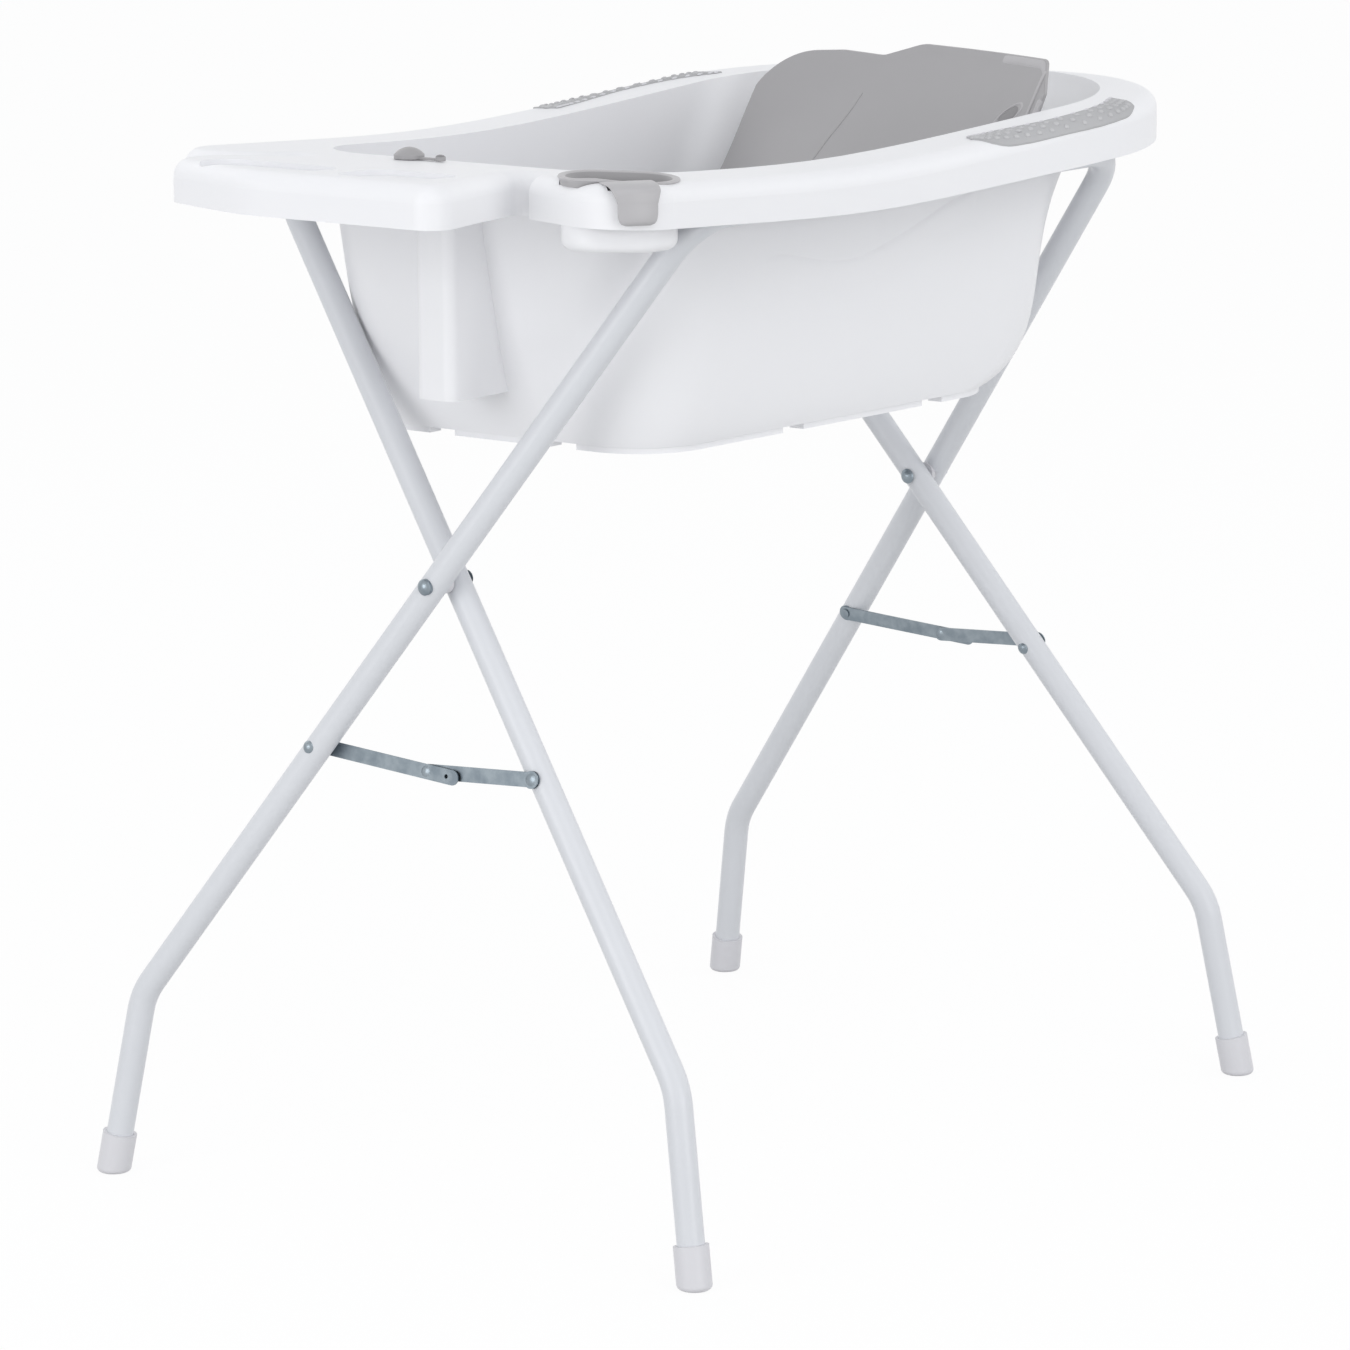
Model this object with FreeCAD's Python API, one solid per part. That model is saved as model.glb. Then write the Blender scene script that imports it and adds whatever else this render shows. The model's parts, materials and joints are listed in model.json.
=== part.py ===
import FreeCAD, Part
import math
import os

# A moulded baby bath on a folding X stand of bent tube.
# X runs from the foot end to the head end, Y from the near side to the far side, Z up.
# The origin is on the floor under the middle of the bath.  Sizes are millimetres.

V = FreeCAD.Vector

# Stand tubes
tube_d = 22.0
tube_wall = 1.2
frame_pitch = 27.5
stand_shift = 19.0
pivot_z = 509.0
bar_z = 808.0
bar_half = 287.8
leg_lean = 36.46
leg_splay = 9.805
knee_z = 151.5
foot_out_x = 13.5
foot_out_y = 26.2
knee_bend = 60.0
corner_bend = 45.0

# Foot caps
cap_d = 28.0
cap_h = 34.0
cap_floor = 6.0
cap_edge = 4.0

# Pivots of the two frames
pivot_d = 6.0
pivot_head_d = 13.0
pivot_head_h = 3.2
spacer_d = 17.0

# Folding braces
brace_z = 368.0
brace_sag = 6.5
link_w = 12.0
link_t = 1.2
link_gap = 1.6
link_tail = 27.0
detent_d = 3.6
detent_at = 21.0
rivet_d = 5.0
rivet_head_d = 10.0
rivet_head_h = 2.4
mid_head_d = 9.0
mid_head_h = 1.2
mid_gap = 0.4
washer_d = 14.0
washer_t = 0.4
cover_washer_t = 1.0

# Clearances
fit = 0.05
slack = 0.1
seat = 0.3

# Bath shell
wall = 3.0
bath_base = 612.0
foot_h = 5.0
foot_in = 2.0
foot_w = 14.0
foot_gap = 26.0
foot_gap_x = (-60.0, 120.0)
foot_gap_y = (-62.0, 62.0)
rim_head_x = 461.0
rim_half = 243.0
rim_head_r = 178.0
rim_edge_r = 14.0
tray_end_x = -474.0
# Foot end of the rim: x, y and corner radius of each corner from the tray to the side
rim_near = [(tray_end_x, -140, 18), (-322, -88, 8), (-319, -109, 8), (-342, -116, 16), (-392, -rim_half, 46)]
rim_far = [(tray_end_x, 60, 120), (-418, 212, 42), (-322, 112, 8), (-319, 141, 8), (-344, 148, 16), (-378, rim_half, 44)]

# Rim height along the bath: side-view points of the top and of the skirt's lower edge
rim_top = [(-600, 848), (-471, 846), (-271, 838), (-56, 830), (119, 836), (269, 845), (469, 855), (600, 859)]
rim_low = [(-600, 815), (-471, 812), (-311, 806), (-71, 795), (119, 799), (269, 805), (469, 818), (600, 827)]

# Basin outlines, outside: height, foot x, head x, foot half width, head half width, foot r, head r
basin_rings = [
    (617, -236, 235, 152, 173, 62, 72),
    (650, -248, 276, 163, 182, 71, 66),
    (720, -265, 288, 168, 192, 76, 66),
    (790, -279, 349, 170, 196, 80, 110),
    (900, -291, 450, 174, 209, 84, 170),
]

# Drain column on the foot wall
column_x = -318.0
column_half = 19.0
column_r = 9.0
column_low = 655.0

# Saddle ribs under the rim
rib_t = 3.0
rib_x = (-170.0, -50.0, 70.0, 190.0)

# Cup pocket and rinse cup
cup_x = -324.0
cup_y = -191.0
cup_turn = -54.0
cup_long = 80.0
cup_short = 56.0
cup_r = 26.0
cup_depth = 46.0
cup_taper = 5.0
cup_wall = 2.0
cup_lip = 4.0
cup_lip_h = 3.0
cup_sink = 5.0
cup_room = 1.0
pocket_r = 8.0
handle_w = 37.0
handle_drop = 27.0
handle_t = 2.5
handle_reach = 55.8
handle_turn = -36.9

# Tray recesses: middle x, middle y, length, width
recess_depth = 4.0
recess_r = 17.0
recesses = [(-425.0, 72.0, 44.0, 120.0), (-420.0, -54.0, 60.0, 84.0)]

# Rim grips
grip_from = 104.0
grip_to = 325.0
grip_t = 1.3
grip_in = 214.0
grip_drop = 13.0

# Drain
drain_x = -150.0
drain_d = 42.0
outlet_flange = 7.0
outlet_t = 2.5
plug_x = -288.0
plug_y = 36.0
plug_d = 24.0
plug_h = 9.0
strap_len = 32.0
strap_w = 5.0
strap_t = 1.6

# Recliner: middle line and side line as x, z points from toe to top, and half width at each
recliner_mid = [(54, 622), (155, 714), (250, 788), (316, 840), (360, 895)]
recliner_side = [(50, 622), (148, 704), (246, 770), (290, 827), (350, 895)]
recliner_half = [136.0, 146.0, 150.0, 150.0, 146.0]
recliner_t = 3.0
recliner_rib_y = 105.0
recliner_rib_to = 190.0
# Front outline of the recliner: y, z and corner radius from the near foot over the top to the far foot
recliner_front = [(-205, 600, 5), (-172, 810, 40), (-134, 876, 10), (8, 881, 25), (44, 870, 25),
                  (85, 873, 40), (150, 870, 44), (158, 700, 40), (205, 600, 5)]

# Worked out from the sizes above
lean = math.tan(math.radians(leg_lean))
splay = math.tan(math.radians(leg_splay))
tube_r = tube_d/2
bar_y = (bar_z-pivot_z)*lean
floor_z = bath_base+foot_h+wall


def corner_wire(corners, z):
    """Closed level outline through the corners (x, y, radius), straight runs with tangent arcs."""
    count = len(corners)
    arcs = []
    for i, (x, y, radius) in enumerate(corners):
        point = V(x, y, z)
        before = V(*corners[i-1][:2], z)-point
        after = V(*corners[(i+1) % count][:2], z)-point
        before.normalize()
        after.normalize()
        half = before.getAngle(after)/2
        reach = radius/math.tan(half)
        centre = point+(before+after).normalize()*(radius/math.sin(half))
        middle = centre+(point-centre).normalize()*radius
        arcs.append((point+before*reach, middle, point+after*reach))
    edges = []
    for i, (start, middle, end) in enumerate(arcs):
        edges.append(Part.Arc(start, middle, end).toShape())
        edges.append(Part.LineSegment(end, arcs[(i+1) % count][0]).toShape())
    return Part.Wire(edges)


def both_sides(half):
    """Near-side corners followed by their mirror images on the far side."""
    return half+[(x, -y, r) for x, y, r in reversed(half)]


def ring(z, foot_x, head_x, foot_half, head_half, foot_r, head_r, inset=0.0):
    """Rounded trapezoid outline of the basin at one height."""
    half = [(foot_x+inset, -(foot_half-inset), foot_r-inset), (head_x-inset, -(head_half-inset), head_r-inset)]
    return corner_wire(both_sides(half), z)


def side_curve(points, dz=0.0):
    """Smooth side-view curve through x, z points."""
    curve = Part.BSplineCurve()
    curve.interpolate([V(x, 0, z+dz) for x, z in points])
    return curve


def between(low, high):
    """Solid between two side-view curves, across the whole width."""
    reach = 2*rim_half
    edges = [low.toShape(), Part.LineSegment(low.EndPoint, high.EndPoint).toShape(),
             high.toShape(), Part.LineSegment(high.StartPoint, low.StartPoint).toShape()]
    face = Part.Face(Part.Wire(edges))
    face.translate(V(0, -reach, 0))
    return face.extrude(V(0, 2*reach, 0))


def prism(wire, height):
    return Part.Face(wire).extrude(V(0, 0, height))


def box(low, high):
    return Part.makeBox(high[0]-low[0], high[1]-low[1], high[2]-low[2], V(*low))


def dome(at, along, diameter, height):
    """Low round head on a flat seat."""
    radius = diameter/2
    ball = (radius**2+height**2)/(2*height)
    centre = at-along*(ball-height)
    cap = Part.makeSphere(ball, centre)
    return cap.common(Part.makeCylinder(radius+1, height+1, at, along))


def one_solid(shape):
    """The clean single solid of a finished piece."""
    shape = shape.removeSplitter()
    return shape.Solids[0] if len(shape.Solids) == 1 else shape


# Stand frames
def tube_face(at, along):
    outer = Part.Wire(Part.makeCircle(tube_r, at, along))
    inner = Part.Wire(Part.makeCircle(tube_r-tube_wall, at, along))
    return Part.makeFace([outer, inner], "Part::FaceMakerBullseye")


def bent_tube(points, bends):
    """Tube along straight runs joined by bends of the given centre-line radii."""
    start = points[0]
    pieces = []
    for i in range(1, len(points)-1):
        along = (points[i]-points[i-1]).normalize()
        onward = (points[i+1]-points[i]).normalize()
        turn = along.getAngle(onward)
        reach = bends[i-1]*math.tan(turn/2)
        bend_start = points[i]-along*reach
        axis = along.cross(onward).normalize()
        centre = bend_start+axis.cross(along)*bends[i-1]
        pieces.append(tube_face(start, along).extrude(bend_start-start))
        pieces.append(tube_face(bend_start, along).revolve(centre, axis, math.degrees(turn)))
        start = points[i]+onward*reach
    along = (points[-1]-start).normalize()
    pieces.append(tube_face(start, along).extrude(points[-1]-start))
    return pieces[0].multiFuse(pieces[1:]).removeSplitter()


def leg_x(z, inset):
    """Distance of a leg's middle line from the stand's middle, at a height."""
    return bar_half-inset+(bar_z-z)*splay


def frame_points(side, inset):
    """Middle line of one frame: side is the sign of Y at its bar."""
    corner = V(leg_x(bar_z, inset), side*bar_y, bar_z)
    knee = V(leg_x(knee_z, inset), -side*(pivot_z-knee_z)*lean, knee_z)
    foot = knee+V(foot_out_x, -side*foot_out_y, -knee_z)
    right = [foot, knee, corner]
    left = [V(-p.x, p.y, p.z) for p in right]
    shift = V(stand_shift, 0, 0)
    return [p+shift for p in left+right[::-1]]


def leg_solid(side, inset, end):
    """Solid round bar in place of one leg's straight upper run, to shape what seats on it."""
    low = V(end*leg_x(knee_z, inset), -side*(pivot_z-knee_z)*lean, knee_z)
    high = V(end*leg_x(bar_z, inset), side*bar_y, bar_z)
    shift = V(stand_shift, 0, 0)
    return Part.makeCylinder(tube_r, (high-low).Length, low+shift, high-low)


def brace_frame(end):
    """Placement of a brace's own plane: x along Y, y up the legs' slope, z towards the stand's middle."""
    x = stand_shift-leg_x(brace_z, frame_pitch/2)
    angle = math.radians(leg_splay)
    up = V(math.sin(angle), 0, math.cos(angle))
    inward = V(math.cos(angle), 0, -math.sin(angle))
    across = V(0, 1, 0)
    matrix = FreeCAD.Matrix(across.x, up.x, inward.x, x,
                            across.y, up.y, inward.y, 0,
                            across.z, up.z, inward.z, brace_z,
                            0, 0, 0, 1)
    return matrix


def place_brace(shape, end):
    """Moves a shape from a brace's own plane to the foot end (-1) or the head end (+1)."""
    placed = shape.copy()
    placed.Placement = FreeCAD.Placement(brace_frame(end)).multiply(placed.Placement)
    if end > 0:
        placed = placed.mirror(V(stand_shift, 0, 0), V(1, 0, 0))
    return placed


brace_half = (pivot_z-brace_z)*lean
brace_lie = math.cos(math.radians(leg_splay))
tube_off = frame_pitch*brace_lie/2
outer_crown = -(tube_off+tube_r)
inner_crown = tube_off+tube_r
long_low = -link_gap/2-link_t
short_high = link_gap/2+link_t
W = V(0, 0, 1)


def drill(shape, diameter, x, y, low, high, end):
    hole = Part.makeCylinder(diameter/2+fit, high-low, V(x, y, low), W)
    return shape.cut(place_brace(hole, end))


def make_frame(side, inset):
    points = frame_points(side, inset)
    rise = (points[1]-points[0]).normalize()*cap_floor
    points[0] = points[0]+rise
    points[-1] = points[-1]+V(-rise.x, rise.y, rise.z)
    tube = bent_tube(points, [knee_bend, corner_bend, corner_bend, knee_bend])
    long_side = side < 0
    for end in (-1, 1):
        x = stand_shift+end*leg_x(pivot_z, inset)
        tube = tube.cut(Part.makeCylinder(pivot_d/2+fit, 4*tube_d, V(x-2*tube_d, 0, pivot_z), V(1, 0, 0)))
        if long_side:
            tube = drill(tube, rivet_d, brace_half, 0, outer_crown-1, 0, end)
        else:
            tube = drill(tube, rivet_d, -brace_half, 0, 0, inner_crown+1, end)
    return one_solid(tube)


def make_cap(foot, knee):
    along = (knee-foot).normalize()
    body = Part.makeCylinder(cap_d/2, cap_h+cap_d, foot-along*cap_d, along)
    ground = box((-2000, -2000, 0), (2000, 2000, 2000))
    body = body.common(ground)
    body = body.makeFillet(cap_edge, [e for e in body.Edges if e.BoundBox.ZMax < 0.01])
    return one_solid(body.cut(Part.makeCylinder(tube_r+fit, cap_h, foot+along*cap_floor, along)))


def make_pivot(end):
    """Rivet through both tubes: its outer head is saddled on the outer tube, its inner head runs free."""
    out = V(end, 0, 0)
    outer_x = leg_x(pivot_z, 0)
    inner_x = leg_x(pivot_z, frame_pitch)
    head_low = outer_x+tube_r/brace_lie+pivot_head_d/2*splay
    tail = inner_x-tube_r/brace_lie-seat-pivot_head_d/2*splay
    middle = V(stand_shift, 0, pivot_z)
    head = dome(middle+out*head_low, out, pivot_head_d, pivot_head_h)
    skirt = Part.makeCylinder(pivot_head_d/2, tube_r/2, middle+out*(head_low-tube_r/2), out)
    skirt = skirt.cut(leg_solid(-1, 0, end))
    shank = Part.makeCylinder(pivot_d/2, head_low-tail, middle+out*tail, out)
    end_head = dome(middle+out*tail, -out, pivot_head_d, pivot_head_h)
    return one_solid(shank.multiFuse([head, skirt, end_head]))


def make_spacer(end):
    """Disc between the two tubes, saddled on the outer one."""
    out = V(end, 0, 0)
    middle = V(stand_shift, 0, pivot_z)
    inner_face = leg_x(pivot_z, frame_pitch)+tube_r/brace_lie+seat+spacer_d/2*splay
    body = Part.makeCylinder(spacer_d/2, leg_x(pivot_z, 0)-inner_face, middle+out*inner_face, out)
    body = body.cut(leg_solid(-1, 0, end))
    body = body.cut(Part.makeCylinder(pivot_d/2+fit, 4*tube_d, middle+out*inner_face, out))
    return max(body.Solids, key=lambda s: s.Volume)


# Folding braces
def link_plate(start, towards, length, tail, low):
    """Flat link with round ends and a hole at its start and at its far pivot."""
    along = (towards-start).normalize()
    side = W.cross(along)*(link_w/2)
    end = start+along*(length+tail)
    back = start-along*(link_w/2)
    front = end+along*(link_w/2)
    edges = [Part.LineSegment(start+side, end+side).toShape(), Part.Arc(end+side, front, end-side).toShape(),
             Part.LineSegment(end-side, start-side).toShape(), Part.Arc(start-side, back, start+side).toShape()]
    face = Part.Face(Part.Wire(edges))
    face.translate(W*low)
    plate = face.extrude(W*link_t)
    for at in (start, start+along*length):
        plate = plate.cut(Part.makeCylinder(rivet_d/2+fit, 3*link_t, at+W*(low-link_t), W))
    return plate


outer_end = V(brace_half, 0, 0)
inner_end = V(-brace_half, 0, 0)
brace_mid = V(0, -brace_sag, 0)
link_length = (brace_mid-outer_end).Length


def make_long_link(end):
    plate = link_plate(outer_end, brace_mid, link_length, link_tail, long_low)
    along = (brace_mid-outer_end).normalize()
    at = brace_mid+along*detent_at+W*(long_low-link_t)
    plate = plate.cut(Part.makeCylinder(detent_d/2, 3*link_t, at, W))
    return one_solid(place_brace(plate, end))


def make_short_link(end):
    return one_solid(place_brace(link_plate(inner_end, brace_mid, link_length, 0, link_gap/2), end))


def saddle_head(at, along, leg):
    """Round head seated on a tube: a dome over a skirt shaped by the tube."""
    skirt = Part.makeCylinder(rivet_head_d/2, tube_r/2, at-along*(tube_r/2), along).cut(leg)
    return dome(at, along, rivet_head_d, rivet_head_h).fuse(skirt)


def make_outer_rivet(end):
    """End rivet of the long link, through the outer frame's leg."""
    leg = place_back(leg_solid(-1, 0, -1))
    head = saddle_head(outer_end+W*outer_crown, -W, leg)
    top = -link_gap/2+slack
    shank = Part.makeCylinder(rivet_d/2, top-outer_crown, outer_end+W*outer_crown, W)
    tail = Part.makeCylinder(rivet_head_d/2-1, cover_washer_t, outer_end+W*top, W)
    return one_solid(place_brace(shank.multiFuse([head, tail]), end))


def make_inner_rivet(end):
    """End rivet of the short link, through the inner frame's leg."""
    leg = place_back(leg_solid(1, frame_pitch, -1))
    head_low = link_gap/2-slack-cover_washer_t
    head = dome(inner_end+W*head_low, -W, rivet_head_d, mid_head_h)
    shank = Part.makeCylinder(rivet_d/2, inner_crown-head_low, inner_end+W*head_low, W)
    tail = saddle_head(inner_end+W*inner_crown, W, leg)
    return one_solid(place_brace(shank.multiFuse([head, tail]), end))


def place_back(shape):
    """A shape of the foot end seen in the brace's own plane."""
    moved = shape.copy()
    moved.Placement = FreeCAD.Placement(brace_frame(-1)).inverse().multiply(moved.Placement)
    return moved


def washer(at, low, thick):
    disc = Part.makeCylinder(washer_d/2, thick, at+W*low, W)
    return disc.cut(Part.makeCylinder(rivet_d/2+fit, 3*thick, at+W*(low-thick), W))


def make_outer_washers():
    low = long_low-slack/2-washer_t
    return Part.makeCompound([place_brace(washer(outer_end, low, washer_t), end) for end in (-1, 1)])


def make_inner_washers():
    solids = []
    for end in (-1, 1):
        solids.append(place_brace(washer(inner_end, short_high+slack/2, washer_t), end))
        solids.append(place_brace(washer(inner_end, link_gap/2-slack-cover_washer_t, cover_washer_t), end))
    return Part.makeCompound(solids)


def make_mid_head(end):
    """Outer half of the middle rivet, held by the long link."""
    low = brace_mid+W*long_low
    shank = Part.makeCylinder(rivet_d/2, link_t+link_gap/2-mid_gap, low, W)
    return one_solid(place_brace(shank.fuse(dome(low, -W, mid_head_d, mid_head_h)), end))


def make_mid_tail(end):
    """Inner half of the middle rivet, held by the short link."""
    high = brace_mid+W*short_high
    shank = Part.makeCylinder(rivet_d/2, link_t+link_gap/2-mid_gap, high, -W)
    return one_solid(place_brace(shank.fuse(dome(high, W, mid_head_d-1, mid_head_h)), end))


# Bath shell
def rim_corners():
    head = [(rim_head_x, -rim_half, rim_head_r), (rim_head_x, rim_half, rim_head_r)]
    return rim_near+head+rim_far[::-1]


def top_edges(shape, curve):
    """Edges of a shape that lie on the rim's top surface."""
    found = []
    for edge in shape.Edges:
        middle = edge.valueAt((edge.FirstParameter+edge.LastParameter)/2)
        nearest = curve.value(curve.parameter(V(middle.x, 0, middle.z)))
        if (nearest-V(middle.x, 0, middle.z)).Length < 0.1:
            found.append(edge)
    return found


def rim_block(grow=0.0):
    """Solid of the rim, tray and skirt with a round outer top edge, grown by a skin thickness."""
    low_z = bath_base
    outline = corner_wire(rim_corners(), low_z)
    if grow:
        outline = outline.makeOffset2D(grow)
    top = side_curve(rim_top, grow)
    block = prism(outline, 2*rim_half).common(between(side_curve(rim_low), top))
    return block.makeFillet(rim_edge_r+grow, top_edges(block, top))


def basin(inset, low):
    """Body of the basin through its outlines, inset by the wall for the inside."""
    wires = [ring(*one, inset=inset) for one in basin_rings]
    wires[0].translate(V(0, 0, low-basin_rings[0][0]))
    return Part.makeLoft(wires, True, False)


def cup_wire(grow, z, shrink=0.0):
    half_l = cup_long/2+grow-shrink
    half_s = cup_short/2+grow-shrink
    r = cup_r+grow-shrink
    wire = corner_wire([(-half_l, -half_s, r), (half_l, -half_s, r), (half_l, half_s, r), (-half_l, half_s, r)], z)
    wire.rotate(V(0, 0, z), V(0, 0, 1), cup_turn)
    wire.translate(V(cup_x, cup_y, 0))
    return wire


def rim_z(x):
    """Height of the rim's top at a place along the bath."""
    upright = Part.makeLine(V(x, 0, 0), V(x, 0, 2*bar_z))
    return side_curve(rim_top).toShape().distToShape(upright)[1][0][0].z


cup_top = rim_z(cup_x-cup_long/2-cup_lip)-cup_sink


def rim_hollow():
    """Space under the rim and tray, inside the skirt."""
    outline = corner_wire(rim_corners(), bath_base).makeOffset2D(-wall)
    top = side_curve(rim_top, -wall)
    space = prism(outline, 2*rim_half).common(between(side_curve(rim_low, -2*wall), top))
    return space.makeFillet(rim_edge_r-wall, top_edges(space, top))


def recess(place, grow, low, high):
    """Block of one tray recess between two depths under the tray's top."""
    x, y, length, width = place
    half_l = length/2+grow
    half_w = width/2+grow
    r = recess_r+grow
    wire = corner_wire([(x-half_l, y-half_w, r), (x+half_l, y-half_w, r),
                        (x+half_l, y+half_w, r), (x-half_l, y+half_w, r)], bath_base)
    return prism(wire, 2*rim_half).common(between(side_curve(rim_top, low), side_curve(rim_top, high)))


def column_wire(inset):
    """Outline of the drain column, with round outer corners and run into the basin's wall."""
    half = column_half-inset
    end = column_x+inset
    root = basin_rings[0][1]
    r = column_r-inset
    return corner_wire([(end, -half, r), (root, -half, 1), (root, half, 1), (end, half, r)], column_low)


def saddle_rib(x, side):
    """Web under the rim with a half-round seat for the stand's bar."""
    web = box((x-rib_t/2, -rim_half, bar_z), (x+rib_t/2, -basin_rings[0][3], bar_z+4*tube_d))
    web = web.cut(Part.makeCylinder(tube_r+seat, 4*rib_t, V(x-2*rib_t, -bar_y, bar_z), V(1, 0, 0)))
    return web if side < 0 else web.mirror(V(0, 0, 0), V(0, 1, 0))


def cup_space(grow, edge_r):
    """Block of the cup's pocket with a round lower edge, grown by a skin thickness."""
    low = cup_top-cup_depth-seat-max(grow-cup_room, 0)
    block = prism(cup_wire(grow, low), 2*cup_depth)
    return block.makeFillet(edge_r, [e for e in block.Edges if e.BoundBox.ZMax < low+0.01])


def cup_seat(grow, low):
    """Block of the seat for the cup's lip and handle, grown by a skin thickness."""
    half = handle_w/2+cup_room+grow
    arm = box((-half, -handle_reach-rim_edge_r, low), (half, 0, low+2*cup_depth))
    arm.rotate(V(0, 0, 0), V(0, 0, 1), handle_turn)
    arm.translate(V(cup_x, cup_y, 0))
    return prism(cup_wire(cup_lip+cup_room+grow, low), 2*cup_depth).fuse(arm)


def base_feet():
    """Low foot ring under the basin's edge, broken by gaps."""
    outline = basin_rings[0][1:]
    height = foot_h+wall/2
    feet = prism(ring(bath_base, *outline, inset=foot_in), height)
    feet = feet.cut(prism(ring(bath_base, *outline, inset=foot_in+foot_w), height))
    top = bath_base+2*height
    gaps = [box((x-foot_gap/2, -rim_half, bath_base-1), (x+foot_gap/2, rim_half, top)) for x in foot_gap_x]
    gaps += [box((tray_end_x, y-foot_gap/2, bath_base-1), (rim_head_x, y+foot_gap/2, top)) for y in foot_gap_y]
    return feet.cut(gaps).Solids


def make_bath():
    """Bath shell: rim, basin, drain column and cup pocket joined solid, then hollowed."""
    rim = rim_block()
    below = between(side_curve(rim_top, -2*rim_half), side_curve(rim_top, -wall/2))
    outer = basin(0, bath_base+foot_h).common(below)
    column = prism(column_wire(0), 2*rim_half).common(below)
    pocket = cup_space(cup_room+wall, pocket_r)
    lower = pocket.common(box((tray_end_x, -rim_half, bath_base), (0, 0, cup_top-cup_depth/2)))
    upper = pocket.fuse(cup_seat(wall, cup_top-seat-wall)).common(rim)
    kept = [outer, column, lower, upper]
    kept += [saddle_rib(x, side) for x in rib_x for side in (-1, 1)]
    kept += [recess(place, wall, -recess_depth-wall, wall) for place in recesses]
    shell = rim.multiFuse([outer, column, lower]+base_feet())
    shell = shell.cut(rim_hollow().cut(kept))
    shell = shell.cut(prism(column_wire(wall), rim_z(column_x)-2*wall-column_low).cut(outer))
    shell = shell.cut(basin(wall, floor_z))
    shell = shell.cut(cup_space(cup_room, pocket_r-wall))
    shell = shell.cut(cup_seat(0, cup_top-seat))
    shell = shell.cut([recess(place, 0, -recess_depth, 2*wall) for place in recesses])
    shell = shell.cut(Part.makeCylinder(drain_d/2, 4*wall, V(drain_x, 0, bath_base), V(0, 0, 1)))
    return one_solid(shell)


def make_grip(side):
    """Soft strip over the rounded outer edge of a side rim."""
    skin = rim_block(grip_t+fit).cut(rim_block(fit))
    low = rim_z(grip_from)-grip_drop
    high = rim_z(grip_to)+grip_t
    top = side_curve(rim_top, 2*grip_t)
    zone = between(side_curve(rim_top, -grip_drop), top)
    end_r = 9.0
    wire = corner_wire([(grip_from, -rim_half-5*grip_t, end_r), (grip_to, -rim_half-5*grip_t, end_r),
                        (grip_to, -grip_in, end_r), (grip_from, -grip_in, end_r)], low-grip_drop)
    strip = skin.common(prism(wire, high-low+4*grip_drop)).common(zone)
    if side > 0:
        strip = strip.mirror(V(0, 0, 0), V(0, 1, 0))
    return one_solid(strip)


def make_cup():
    low = cup_top-cup_depth
    outer = Part.makeLoft([cup_wire(0, low, cup_taper), cup_wire(0, cup_top)], True, True)
    lip = prism(cup_wire(cup_lip, cup_top), cup_lip_h)
    lip = lip.makeFillet(cup_lip_h/3, [e for e in lip.Edges if e.BoundBox.ZMin > cup_top+cup_lip_h-0.01])
    bore = Part.makeLoft([cup_wire(-cup_wall, low+cup_wall, cup_taper), cup_wire(-cup_wall, cup_top+2*cup_lip_h)],
                         True, True)
    far = -handle_reach
    arm = box((-handle_w/2, far, cup_top), (handle_w/2, cup_wall-cup_short/2, cup_top+handle_t))
    drop = box((-handle_w/2, far, cup_top-handle_drop), (handle_w/2, far+handle_t, cup_top+handle_t))
    handle = arm.fuse(drop)
    handle = handle.removeSplitter()
    handle.rotate(V(0, 0, 0), V(0, 0, 1), handle_turn)
    handle.translate(V(cup_x, cup_y, 0))
    return one_solid(outer.fuse(lip).fuse(handle).cut(bore))


def make_outlet():
    low = bath_base+foot_h-outlet_t
    flange = Part.makeCylinder(drain_d/2+outlet_flange, outlet_t, V(drain_x, 0, low), V(0, 0, 1))
    neck = Part.makeCylinder(drain_d/2-slack, wall+outlet_t, V(drain_x, 0, low), V(0, 0, 1))
    bore = Part.makeCylinder(drain_d/2-slack-wall, 4*wall, V(drain_x, 0, low-wall), V(0, 0, 1))
    return one_solid(flange.fuse(neck).cut(bore))


def make_plug():
    base = rim_z(plug_x-plug_d)+seat
    at = V(plug_x-plug_d/2, plug_y, base)
    head = Part.makeCylinder(plug_d/2, plug_h/3, at, V(0, 0, 1)).fuse(
        dome(at+V(0, 0, plug_h/3), V(0, 0, 1), plug_d, plug_h*2/3))
    strap = box((at.x-strap_w/2, plug_y-strap_len, base), (at.x+strap_w/2, plug_y, base+strap_t))
    knob = Part.makeCylinder(strap_w*0.8, 2*strap_t, V(at.x, plug_y-strap_len, base), V(0, 0, 1))
    return one_solid(head.fuse(strap).fuse(knob))


def make_recliner():
    """Scooped back rest: a swept skin with two ribs under it, trimmed to its lobed front outline."""
    arcs = []
    for (mx, mz), (sx, sz), half in zip(recliner_mid, recliner_side, recliner_half):
        arcs.append(Part.Wire(Part.Arc(V(sx, -half, sz), V(mx, 0, mz), V(sx, half, sz)).toShape()))
    skin = Part.makeLoft(arcs, False, False).Faces[0]
    board = skin.extrude(V(recliner_t, 0, -recliner_t*0.6))
    behind = skin.extrude(V(rim_head_x, 0, 0))
    pieces = []
    for y in (-recliner_rib_y, recliner_rib_y):
        rib = box((recliner_mid[0][0]+20, y-recliner_t/2, floor_z), (recliner_rib_to, y+recliner_t/2, bar_z))
        pieces.append(rib.common(behind))
    back_rest = board.multiFuse(pieces)
    outline = corner_wire(recliner_front, 0)
    front = Part.Face(outline)
    front.Placement = FreeCAD.Placement(FreeCAD.Matrix(0, 0, 1, 0, 1, 0, 0, 0, 0, 1, 0, 0, 0, 0, 0, 1))
    ground = box((0, -rim_half, floor_z+seat), (rim_head_x, rim_half, 2*bar_z))
    return one_solid(back_rest.common(front.extrude(V(rim_head_x, 0, 0))).common(ground))


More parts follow.
